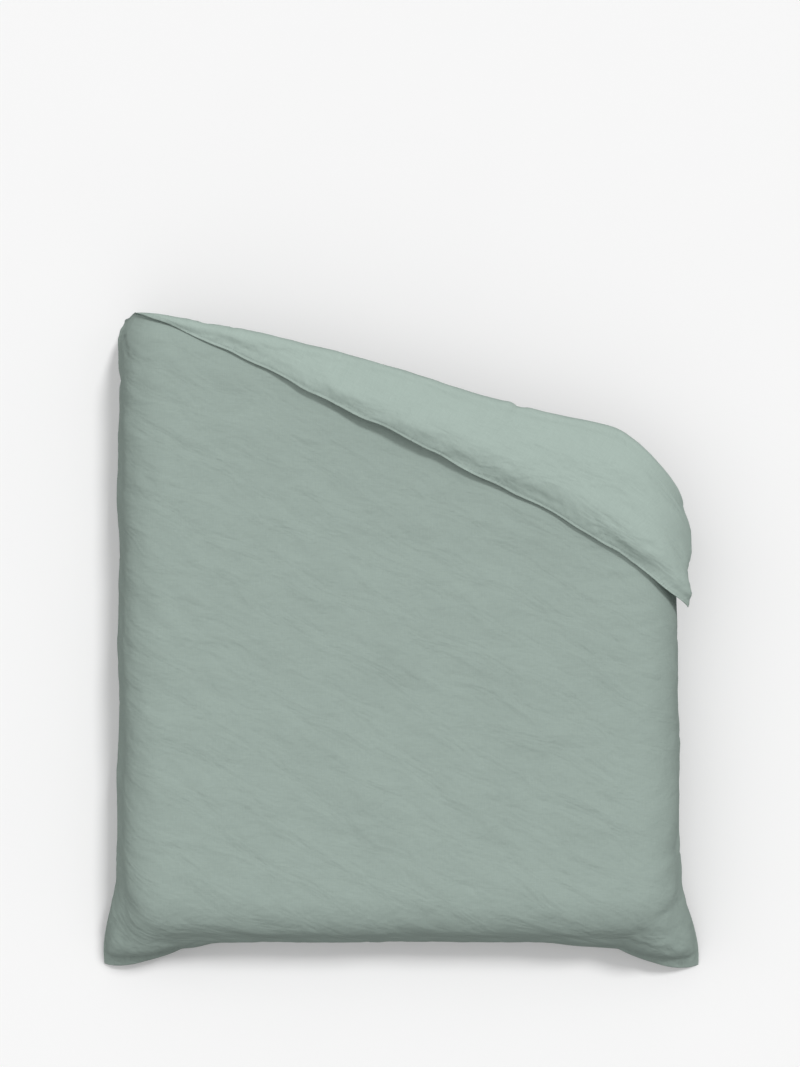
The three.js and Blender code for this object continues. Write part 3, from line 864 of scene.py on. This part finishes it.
def thread_material(name, color):
    """Twisted sewing thread."""
    n = Nodes(name)
    place = n.add("ShaderNodeTexCoord").outputs["Object"]
    inputs = {"Vector": place, "Scale": 420, "Distortion": 1.5}
    twist = n.add("ShaderNodeTexWave", inputs, bands_direction="DIAGONAL").outputs[1]
    n.link(n.mixed(twist, color, 0.8, 1.12), "Base Color")
    n.bumps((twist, 0.5, 0.0002))
    n.fixed(Roughness=0.7, Sheen_Weight=0.3)
    return n.material


SAGE = (0.325, 0.398, 0.361)
# The lower panel's colour is the sage painted 1.2 times as bright: a painted highlight on the turned-back
# corner, which shows the lower panel, standing in for the light that falls on it
PAINTED_BRIGHT_SAGE = tuple(1.2 * c for c in SAGE)
BUTTON_SAGE, THREAD_SAGE = (0.42, 0.49, 0.45), (0.28, 0.35, 0.315)
WHITE, TAPE_WHITE, SATIN_WHITE = (0.8, 0.79, 0.75), (0.72, 0.71, 0.65), (0.85, 0.85, 0.84)
FILL_WHITE = (0.85, 0.83, 0.78)
SHELL_WEAVE = {"thread": 0.5, "vary": 0.02, "crinkle": 0.3}
TAPE_WEAVE = {"thread": 1.1, "vary": 0.03, "crinkle": 0.1}
SATIN_WEAVE = {"thread": 0.3, "vary": 0.01, "sheen": 0.5, "crinkle": 0.05, "rough": 0.5}
MATERIALS = {
    "cover_cotton": cloth_material("sage_cotton", SAGE, edges=True),
    # A brighter copy of the sage cotton for the lower panel: painted highlight on the turned-back corner
    "cover_painted_bright": cloth_material("painted_bright_sage_cotton", PAINTED_BRIGHT_SAGE, edges=True, lean=0.1),
    "inner_cotton": cloth_material("white_cotton", WHITE, **SHELL_WEAVE),
    "filling": filling_material("white_filling", FILL_WHITE),
    "inner_tape": cloth_material("cotton_tape", TAPE_WHITE, **TAPE_WEAVE),
    "button": button_material("sage_button", BUTTON_SAGE),
    "thread": thread_material("sage_thread", THREAD_SAGE),
    "label": cloth_material("label_satin", SATIN_WHITE, **SATIN_WEAVE),
}


# ---- Cover
def rim_of(rows, columns):
    """The numbers of a grid's outermost points, once round."""
    i = np.arange(rows * columns).reshape(rows, columns)
    return np.concatenate([i[0, :-1], i[:-1, -1], i[-1, :0:-1], i[:0:-1, 0]])


TURN_IN, TURN_HEIGHT = 14.0, 0.12


def cover_panel(name, node, upper):
    """One side of the cover, with its edges turned in."""
    u, v = cover_grid()
    w = surface(u, v, upper)
    rows, columns = u.shape
    points = lay_cloth(u, v, w).reshape(-1, 3)
    faces = grid_faces(rows, columns, flip=upper)
    flat = np.stack([u, v], -1).reshape(-1, 2)
    # The edge is turned in: the cloth goes round the rim and back inside, under itself
    rim = rim_of(rows, columns)
    height = TURN_HEIGHT if upper else -TURN_HEIGHT
    centre = np.array([0, HALF])
    turned, flats = [points], [flat]
    previous, count = rim, len(points)
    for inside in (0, TURN_IN):
        edge = flat[rim] - centre
        edge = np.sign(edge) * np.minimum(np.abs(edge), HALF - inside) + centre
        ring = lay_cloth(edge[:, 0], edge[:, 1], height)
        now = np.arange(len(rim)) + count
        pairs = bridge(previous, now)
        faces += (pairs if upper else pairs[:, ::-1]).tolist()
        turned.append(ring)
        flats.append(edge)
        previous, count = now, count + len(rim)
    # The lower panel takes the sage painted brighter: a painted highlight where the turned-back corner
    # shows it
    look = "cover_cotton" if upper else "cover_painted_bright"
    flats = np.concatenate(flats)
    piece = new_piece(name, np.concatenate(turned), faces, "cover_cotton", [node], flats, look=look)
    return piece


STITCH_LENGTH, STITCH_RADIUS, STITCH_LIFT, STITCH_PITCH = 3.4, 0.3, 0.25, 5.2


def stitch_run(places, upper):
    """Stitches at flat places (u, v, heading): a slim lens of thread for each."""
    places = np.asarray(places)
    u, v, heading = places.T
    side = 1 if upper else -1
    du, dv = np.cos(heading) * STITCH_LENGTH / 2, np.sin(heading) * STITCH_LENGTH / 2

    def at(a, b, up):
        return lay_cloth(a, b, surface(a, b, upper) + side * up)

    ends = at(u - du, v - dv, 0.0), at(u + du, v + dv, 0.0)
    across = STITCH_RADIUS * np.sin(heading), -STITCH_RADIUS * np.cos(heading)
    middle = [
        at(u, v, STITCH_LIFT + STITCH_RADIUS),
        at(u + across[0], v + across[1], STITCH_LIFT),
        at(u, v, STITCH_LIFT - STITCH_RADIUS),
        at(u - across[0], v - across[1], STITCH_LIFT),
    ]
    points = np.stack([ends[0], *middle, ends[1]], 1).reshape(-1, 3)
    ring = ((1, 2), (2, 3), (3, 4), (4, 1))
    shape = [(0, b, a) for a, b in ring] + [(5, a, b) for a, b in ring]
    if not upper:
        shape = [f[::-1] for f in shape]
    base = np.arange(len(places))[:, None, None] * 6
    return points, (base + np.array(shape)[None]).reshape(-1, 3)


def stitch_lines(inset, foot_insets):
    """Flat places and headings of the stitches round the sides and head, and at the foot."""
    along_v = np.arange(inset, LENGTH - foot_insets[0], STITCH_PITCH)
    along_u = np.arange(-HALF + inset, HALF - inset, STITCH_PITCH)
    places = [(s * (HALF - inset), v, math.pi / 2) for s in (-1, 1) for v in along_v]
    places += [(u, inset, 0.0) for u in along_u]
    for foot in foot_insets:
        places += [(u, LENGTH - foot, 0.0) for u in along_u]
    return places


def add_stitching():
    places = stitch_lines(SEAM - 1.5, (HEM - 1.5, 5.0))
    for name, upper in (("cover_seam_stitches_upper", True), ("cover_seam_stitches_lower", False)):
        points, faces = stitch_run(places, upper)
        new_piece(name, points, faces.tolist(), "thread")


# ---- Strips and slabs made between two layers
def slab(name, slot, nodes, us, vs, top, bottom):
    """A closed piece between two layers over a rectangle of the flat duvet."""
    u, v = np.meshgrid(us, vs, indexing="ij")
    rows, columns = u.shape
    points = [lay(u, v, w).reshape(-1, 3) for w in (top(u, v), bottom(u, v))]
    flats = [np.stack([u, v], -1).reshape(-1, 2)] * 2
    faces = grid_faces(rows, columns, flip=True) + grid_faces(rows, columns, start=rows * columns)
    rim = rim_of(rows, columns)
    faces += bridge(rim, rim + rows * columns).tolist()
    piece = new_piece(name, np.concatenate(points), faces, slot, nodes, np.concatenate(flats))
    return piece


FACING_HALF, FACING_START, FACING_WIDTH, FACING_THICK = 600.0, 1962.0, 35.0, 0.5


def add_facings():
    outside = HEM_LOFT / 2 - 1.0
    us = between(-FACING_HALF, FACING_HALF, 15)
    vs = FACING_START + np.array([0, 4, 13, 23, 31, FACING_WIDTH])

    def outer(u, v):
        return outside - 0.25 * np.sin((v - FACING_START) / FACING_WIDTH * math.pi)

    def inner(u, v):
        return outer(u, v) - FACING_THICK

    slab(
        "facing_upper", "cover_cotton", ["upper_hem_facing"], us, vs,
        outer, inner,
    )
    slab(
        "facing_lower", "cover_cotton", ["lower_hem_facing"], us, vs,
        lambda u, v: -inner(u, v), lambda u, v: -outer(u, v),
    )


# ---- Inner
INNER_EDGE = HALF - SEAM - ROOM
INNER_HEAD, INNER_FOOT = SEAM + ROOM, LENGTH - HEM - ROOM
FILL_EDGE = INNER_EDGE - FILL_INSET
FILL_HEAD, FILL_FOOT = INNER_HEAD + FILL_INSET, INNER_FOOT - FILL_INSET


def seam_dip(u, v):
    """The inner's boxes are drawn in along the baffles."""
    dips = [np.exp(-(((u - line) / 16) ** 2)) for line in BAFFLES_U]
    dips += [np.exp(-(((v - line) / 16) ** 2)) for line in BAFFLES_V]
    return np.maximum.reduce(dips)


def inner_surface(u, v, upper):
    side = 1 if upper else -1
    full = fullness(u, v, ROOM)
    raised = np.minimum(puff(u, v, upper), 0.6) * full
    return side * (inner_loft(u, v) / 2 + raised - 1.2 * seam_dip(u, v) * full)


SHELL_STEP, SHELL_THICK, SHELL_RIM = 22.0, 0.5, 6.0
FILL_STEP, FILL_RIM = 28.0, (0, 4, 12)
BAFFLE_STEP, BAFFLE_THICK = 25.0, 0.5


def rimmed(start, middle, end, rim):
    """Lines from start to end, with the rim's distances near both."""
    rim = np.array(rim)
    return np.concatenate([start + rim, middle, (end - rim)[::-1]])


def fold_steps(a, b, step, u):
    """Rows from a to b, closer where the fold is."""
    low, high = fold_line(np.min(u)) - 60, fold_line(np.max(u)) + 20
    v = [a]
    while v[-1] < b - 1:
        near = low < v[-1] < high
        v.append(min(b, v[-1] + (step / 3 if near else step)))
    return np.array(v)


def add_inner():
    rim = (0, SHELL_RIM)
    us = rimmed(-INNER_EDGE, between(-FILL_EDGE, FILL_EDGE, SHELL_STEP), INNER_EDGE, rim)
    vs = rimmed(INNER_HEAD, fold_steps(FILL_HEAD, FILL_FOOT, SHELL_STEP, us), INNER_FOOT, rim)
    for which, upper in (("upper", True), ("lower", False)):

        def outer(u, v, upper=upper):
            return inner_surface(u, v, upper)

        def inner(u, v, upper=upper):
            return inner_surface(u, v, upper) - (SHELL_THICK if upper else -SHELL_THICK)

        top, bottom = (outer, inner) if upper else (inner, outer)
        slab(
            f"inner_{which}", "inner_cotton", [f"inner_{which}_shell"], us, vs, top, bottom,
        )


def spans(lines, start, end, gap):
    """The stretches between lines, each ending a gap before them."""
    edges = [start - gap, *lines, end + gap]
    return [(a + gap, b - gap) for a, b in zip(edges, edges[1:])]


def add_fill():
    for row, (v0, v1) in enumerate(spans(BAFFLES_V, FILL_HEAD, FILL_FOOT, 1.5), 1):
        for column, (u0, u1) in enumerate(spans(BAFFLES_U, -FILL_EDGE, FILL_EDGE, 1.5), 1):
            us = rimmed(u0, between(u0 + FILL_STEP, u1 - FILL_STEP, FILL_STEP), u1, FILL_RIM)
            core = fold_steps(v0 + FILL_STEP, v1 - FILL_STEP, FILL_STEP, us)
            vs = rimmed(v0, core, v1, FILL_RIM)

            def crown(u, v, u0=u0, u1=u1, v0=v0, v1=v1):
                edge = np.minimum(np.minimum(u - u0, u1 - u), np.minimum(v - v0, v1 - v))
                return 0.72 + 0.28 * rise(edge / 45)

            def top(u, v, crown=crown):
                return np.maximum(inner_surface(u, v, True) - 1.2, 0.4) * crown(u, v)

            def bottom(u, v, crown=crown):
                return np.minimum(inner_surface(u, v, False) + 1.2, -0.4) * crown(u, v)

            name = f"fill_box_row{row}_column{column}"
            slab(f"fill_{row}_{column}", "filling", [name], us, vs, top, bottom)


def add_baffles():
    side = np.array([-0.5, 0.5]) * BAFFLE_THICK

    def top(u, v):
        return np.maximum(inner_surface(u, v, True) - 0.9, 0.3)

    def bottom(u, v):
        return np.minimum(inner_surface(u, v, False) + 0.9, -0.3)

    for k, u in enumerate(BAFFLES_U, 1):
        vs = fold_steps(FILL_HEAD, FILL_FOOT, BAFFLE_STEP, u)
        slab(
            f"baffle_along_{k}", "inner_tape", [f"baffle_long_{k}"], u + side, vs, top, bottom,
        )
    for row, v in enumerate(BAFFLES_V, 1):
        for column, (u0, u1) in enumerate(spans(BAFFLES_U, -FILL_EDGE, FILL_EDGE, 0.8), 1):
            node = f"baffle_cross_row{row}_column{column}"
            slab(
                f"baffle_across_{row}_{column}", "inner_tape", [node],
                between(u0, u1, BAFFLE_STEP), v + side, top, bottom,
            )


BINDING_CORNER, BINDING_STEP, BINDING_OUT = 14.0, 9.0, 1.4
# Half of the folded tape's section, from its outer edge to its raw one: outwards, up
BINDING_HALF = ((1.3, 0.55), (0.3, 0.7), (-0.9, 0.62))


def binding_path():
    """Flat places round the inner's edge, with rounded corners, and the ways out of it."""
    across, head = INNER_EDGE - BINDING_CORNER, INNER_HEAD + BINDING_CORNER
    foot = INNER_FOOT - BINDING_CORNER
    path, outward = [], []
    for k, centre in enumerate(((across, head), (across, foot), (-across, foot), (-across, head))):
        for a in np.linspace(0, math.pi / 2, 7) + (k - 1) * math.pi / 2:
            out = np.array([math.cos(a), math.sin(a)])
            path.append(centre + BINDING_CORNER * out)
            outward.append(out)
    places, ways = [], []
    for a, b, out in zip(path, path[1:] + path[:1], outward):
        steps = max(1, int(np.linalg.norm(b - a) / BINDING_STEP))
        for t in np.arange(steps) / steps:
            places.append(a * (1 - t) + b * t)
            ways.append(out)
    return np.array(places), np.array(ways)


def add_binding():
    """A folded tape round the inner's edge, as a flattened tube with rounded corners."""
    places, ways = binding_path()
    u, v = places.T
    profile = [(1.6, 0.0), *BINDING_HALF, *((out, -up) for out, up in BINDING_HALF[::-1])]
    origin, x, y, z = (a[:, None] for a in axes_at(u, v, 0 * u))
    out, up = (np.array(a)[None, :, None] for a in zip(*profile))
    away = ways[:, :1, None] * x - ways[:, 1:, None] * y
    points = origin + ((out + BINDING_OUT) * away + up * z) / 1000
    count, around = len(u), len(profile)
    faces = grid_faces(count, around, closed=True)
    first = np.arange(around)
    faces += bridge(first + (count - 1) * around, first).tolist()
    flat = np.repeat(places, around, 0)
    new_piece("inner_binding", points, faces, "inner_tape", ["inner_edge_binding"], flat)


# ---- Fastenings
def rigid(name, slot, nodes, place, local, faces, turn=0.0):
    """A small piece made at the origin, in millimetres, and put at a flat place."""
    origin, x, y, z = axes_at(*(np.array(float(a)) for a in place))
    local = np.asarray(local, float)
    c, s = math.cos(turn), math.sin(turn)
    a, b = local[:, 0] * c - local[:, 1] * s, local[:, 0] * s + local[:, 1] * c
    points = origin + (a[:, None] * x + b[:, None] * y + local[:, 2:] * z) / 1000
    return new_piece(name, points, faces, slot, nodes)


def tube_along(line, radius, around=8):
    """Points and faces of a closed round tube along a line, with closed ends."""
    line = np.asarray(line, float)
    tangent = np.gradient(line, axis=0)
    tangent /= np.linalg.norm(tangent, axis=1, keepdims=True)
    helper = np.where(np.abs(tangent[:, 2:]) < 0.9, [[0, 0, 1.0]], [[1.0, 0, 0]])
    side = np.cross(tangent, helper)
    side /= np.linalg.norm(side, axis=1, keepdims=True)
    up = np.cross(tangent, side)
    a = np.arange(around) / around * 2 * math.pi
    ring = side[:, None] * np.cos(a)[:, None] + up[:, None] * np.sin(a)[:, None]
    points = (line[:, None] + radius * ring).reshape(-1, 3)
    faces = grid_faces(len(line), around, closed=True)
    faces += [list(range(around))[::-1], list(range(len(points) - around, len(points)))]
    return points, faces


def squared(t, power):
    """A cosine of t that stays longer near 1 and -1."""
    return math.copysign(abs(math.cos(t)) ** power, math.cos(t))


def join(parts):
    """Several sets of points and faces as one."""
    points, faces, count = [], [], 0
    for p, f in parts:
        points.append(np.asarray(p))
        faces += [[i + count for i in face] for face in f]
        count += len(p)
    return np.concatenate(points), faces


BUTTON_RADIUS, HOLE_RADIUS, HOLE_AT, BUTTON_EDGE = 8.5, 1.25, 1.75, 0.45
# The raised rim on the button's outer side: distance from its middle, height
BUTTON_RIM = ((6.4, -1.2), (6.7, -1.75), (7.3, -2.0), (8.0, -1.8), (8.3, -1.2))
BUTTON_GAP = 2.3  # from the lower panel to the button's middle


def button_shape():
    """A four-hole button with a raised rim and a dished middle, made as a filled curve."""
    curve = bpy.data.curves.new("button_outline", "CURVE")
    curve.dimensions = "2D"
    curve.fill_mode = "BOTH"
    curve.extrude = 2 * BUTTON_EDGE
    curve.bevel_depth = BUTTON_EDGE
    curve.bevel_resolution = 2
    holes = [(x * HOLE_AT, y * HOLE_AT, HOLE_RADIUS, 12) for x, y in ((1, 1), (-1, 1), (-1, -1), (1, -1))]
    for x, y, radius, around in [(0, 0, BUTTON_RADIUS, 40), *holes]:
        spline = curve.splines.new("POLY")
        spline.points.add(around - 1)
        for k, point in enumerate(spline.points):
            a = 2 * math.pi * k / around
            point.co = (x + radius * math.cos(a), y + radius * math.sin(a), 0, 1)
        spline.use_cyclic_u = True
    holder = bpy.data.objects.new("button_outline", curve)
    SCENE.collection.objects.link(holder)
    bpy.context.view_layer.update()
    mesh = holder.to_mesh()
    points = np.array([p.co for p in mesh.vertices])
    faces = [list(p.vertices) for p in mesh.polygons]
    holder.to_mesh_clear()
    bpy.data.objects.remove(holder)
    bpy.data.curves.remove(curve)
    a = np.linspace(0, 2 * math.pi, 41)[:-1]
    ring = np.array([[(r * math.cos(t), r * math.sin(t), z) for r, z in BUTTON_RIM] for t in a])
    rim = np.arange(len(a) * len(BUTTON_RIM)).reshape(len(a), -1)
    rim = np.concatenate([rim, rim[:1]])
    rim = np.concatenate([rim, rim[:, :1]], 1)
    return join([(points, faces), (ring.reshape(-1, 3), quads(rim).tolist())])


SHANK_TURNS = 6 * math.pi


def shank_shape():
    """Two double arches of thread through the holes, four strands, and the thread round them."""
    parts = []
    for x in (-HOLE_AT, HOLE_AT):
        for shift in (-0.3, 0.3):
            arch = [
                (x + shift, HOLE_AT * math.cos(t), -1.2 - 1.1 * math.sin(t))
                for t in np.linspace(0, math.pi, 9)
            ]
            parts.append(tube_along(arch, 0.28, 6))
    for a in np.linspace(0, 2 * math.pi, 5)[:-1]:
        x, y = 0.55 * math.cos(a), 0.55 * math.sin(a)
        parts.append(tube_along([(x, y, 1.4), (x * 0.8, y * 0.8, 2.0), (x, y, 2.6)], 0.35, 6))
    turns = np.linspace(0, SHANK_TURNS, 60)
    wrap = [(0.95 * math.cos(t), 0.95 * math.sin(t), 1.5 + t / SHANK_TURNS) for t in turns]
    parts.append(tube_along(wrap, 0.2, 5))
    return join(parts)


WELT_HALF, WELT_SIDE = 9.4, 1.9


def welt_shape():
    """The stitched edge round a buttonhole."""
    around = np.linspace(0, 2 * math.pi, 49)[:-1]
    welt = [(WELT_HALF * squared(t, 0.35), WELT_SIDE * math.sin(t), -0.15) for t in around]
    return tube_along(welt + welt[:1], 0.32, 6)


def add_buttons():
    disc, shank, welt = button_shape(), shank_shape(), welt_shape()
    under = -HEM_LOFT / 2
    for k, u in enumerate(BUTTONS_AT, 1):
        place = (u, BUTTON_LINE, under - BUTTON_GAP)
        rigid(f"button_disc_{k}", "button", [f"button_{k}"], place, *disc)
        rigid(f"button_thread_{k}", "thread", [f"button_shank_{k}"], place, *shank)
        rigid(f"buttonhole_welt_{k}", "thread", [], (u, BUTTON_LINE, under), *welt)


def tape(line, half_width, thickness=0.4):
    """A flat tape along a line in the x, z plane, its width along y."""
    line = np.asarray(line, float)
    tangent = np.gradient(line, axis=0)
    tangent /= np.linalg.norm(tangent, axis=1, keepdims=True)
    normal = np.stack([-tangent[:, 1], tangent[:, 0]], -1) * thickness / 2
    points = []
    for y in (-half_width, half_width):
        for n in (normal, -normal):
            a = line + n
            points.append(np.stack([a[:, 0], np.full(len(a), y), a[:, 1]], -1))
    points = np.stack([points[0], points[1], points[3], points[2]], 1).reshape(-1, 3)
    faces = grid_faces(len(line), 4, closed=True)
    faces += [[3, 2, 1, 0], [len(points) - 4, len(points) - 3, len(points) - 2, len(points) - 1]]
    return points, faces


def add_corner_fastenings():
    inside = 0.56 * ROOM
    across, head, foot = HALF - SEAM - inside, SEAM + inside, LENGTH - HEM - inside
    corners = (
        ("head_left", -across, head, 135),
        ("head_right", across, head, 45),
        ("foot_left", -across, foot, 225),
        ("foot_right", across, foot, 315),
    )
    around = np.linspace(0, 2 * math.pi, 33)
    ring = [(6.2 * squared(a, 0.5) - 2, 2.4 * math.sin(a), 0) for a in around]
    bend = np.linspace(math.pi / 2, -math.pi / 2, 9)
    hairpin = [(1.2 - 0.9 * math.cos(a), 0.9 * math.sin(a)) for a in bend]
    loop, tie = tube_along(ring, 0.4, 6), tape([(6.8, 0.95), *hairpin, (6.8, -0.95)], 1.5)
    for name, u, v, degrees in corners:
        place, turn = (u, v, 0), math.radians(degrees)
        rigid(f"loop_{name}", "inner_tape", [f"inner_corner_loop_{name}"], place, *loop, turn=turn)
        rigid(f"tie_{name}", "cover_cotton", [f"cover_corner_tie_{name}"], place, *tie, turn=turn)


def add_label():
    us, vs = between(-984, -960, 3), between(1250, 1300, 5)

    def bottom(u, v):
        return -cover_loft(u, v) / 2 + 1.4 + 0.15 * np.sin(v / 6)

    def top(u, v):
        return bottom(u, v) + 0.3

    slab(
        "label", "label", ["care_label"], us, vs, top, bottom,
    )


cover_panel("cover_upper", "cover_upper_panel", True)
cover_panel("cover_lower", "cover_lower_panel", False)
add_stitching()
add_facings()
add_inner()
add_fill()
add_baffles()
add_binding()
add_buttons()
add_corner_fastenings()
add_label()


# ---- Stage and light
FLOOR_GAP, FLOOR_HALF = 0.004, 30.0


def add_stage():
    """A pale level floor just under the lowest cloth, which throws no light back on it."""
    n = Nodes("pale_floor")
    place = n.add("ShaderNodeTexCoord").outputs["Object"]
    grain = n.noise(place, 3, 3)
    n.link(n.mixed(grain, (0.92, 0.92, 0.92), 0.99, 1.0), "Base Color")
    n.fixed(Roughness=1.0, Specular_IOR_Level=0.0)
    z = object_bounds()[0][2] - FLOOR_GAP
    corners = [(x * FLOOR_HALF, y * FLOOR_HALF, z) for x, y in ((-1, -1), (1, -1), (1, 1), (-1, 1))]
    mesh = bpy.data.meshes.new("floor")
    mesh.from_pydata(corners, [], [(0, 1, 2, 3)])
    floor = bpy.data.objects.new("floor", mesh)
    floor.data.materials.append(n.material)
    floor.visible_diffuse = False
    SCENE.collection.objects.link(floor)


def add_sun(name, share, tilt, towards, softness):
    """Light from far off that gives a level white surface this share of full brightness."""
    data = bpy.data.lights.new(name, "SUN")
    data.energy = math.pi * share / math.cos(math.radians(tilt))
    data.angle = math.radians(softness)
    sun = bpy.data.objects.new(name, data)
    sun.rotation_euler = (0, math.radians(tilt), math.radians(towards))
    SCENE.collection.objects.link(sun)


# The world's strength is the sum of two ramps over a direction's height: from, to, low, high
WORLD_RAMPS = ((-0.06, 0.0, 0.13, 0.30), (0.0, 1.0, 0.0, 0.29))


def add_lights():
    """White light from all round, most from overhead and least from below, and two suns."""
    world = bpy.data.worlds.new("studio")
    world.use_nodes = True
    tree = world.node_tree
    background = tree.nodes["Background"]
    background.inputs[0].default_value = (1, 1, 1, 1)
    heading = tree.nodes.new("ShaderNodeTexCoord").outputs["Generated"]
    apart = tree.nodes.new("ShaderNodeSeparateXYZ")
    tree.links.new(heading, apart.inputs[0])
    total = tree.nodes.new("ShaderNodeMath")
    for k, limits in enumerate(WORLD_RAMPS):
        part = tree.nodes.new("ShaderNodeMapRange")
        tree.links.new(apart.outputs[2], part.inputs[0])
        for socket, limit in zip(part.inputs[1:5], limits):
            socket.default_value = limit
        tree.links.new(part.outputs[0], total.inputs[k])
    tree.links.new(total.outputs[0], background.inputs[1])
    SCENE.world = world
    add_sun("key", share=0.38, tilt=38, towards=52, softness=11)
    add_sun("fill", share=0.15, tilt=40, towards=160, softness=60)
    SCENE.view_settings.view_transform = "Standard"


add_stage()
add_lights()
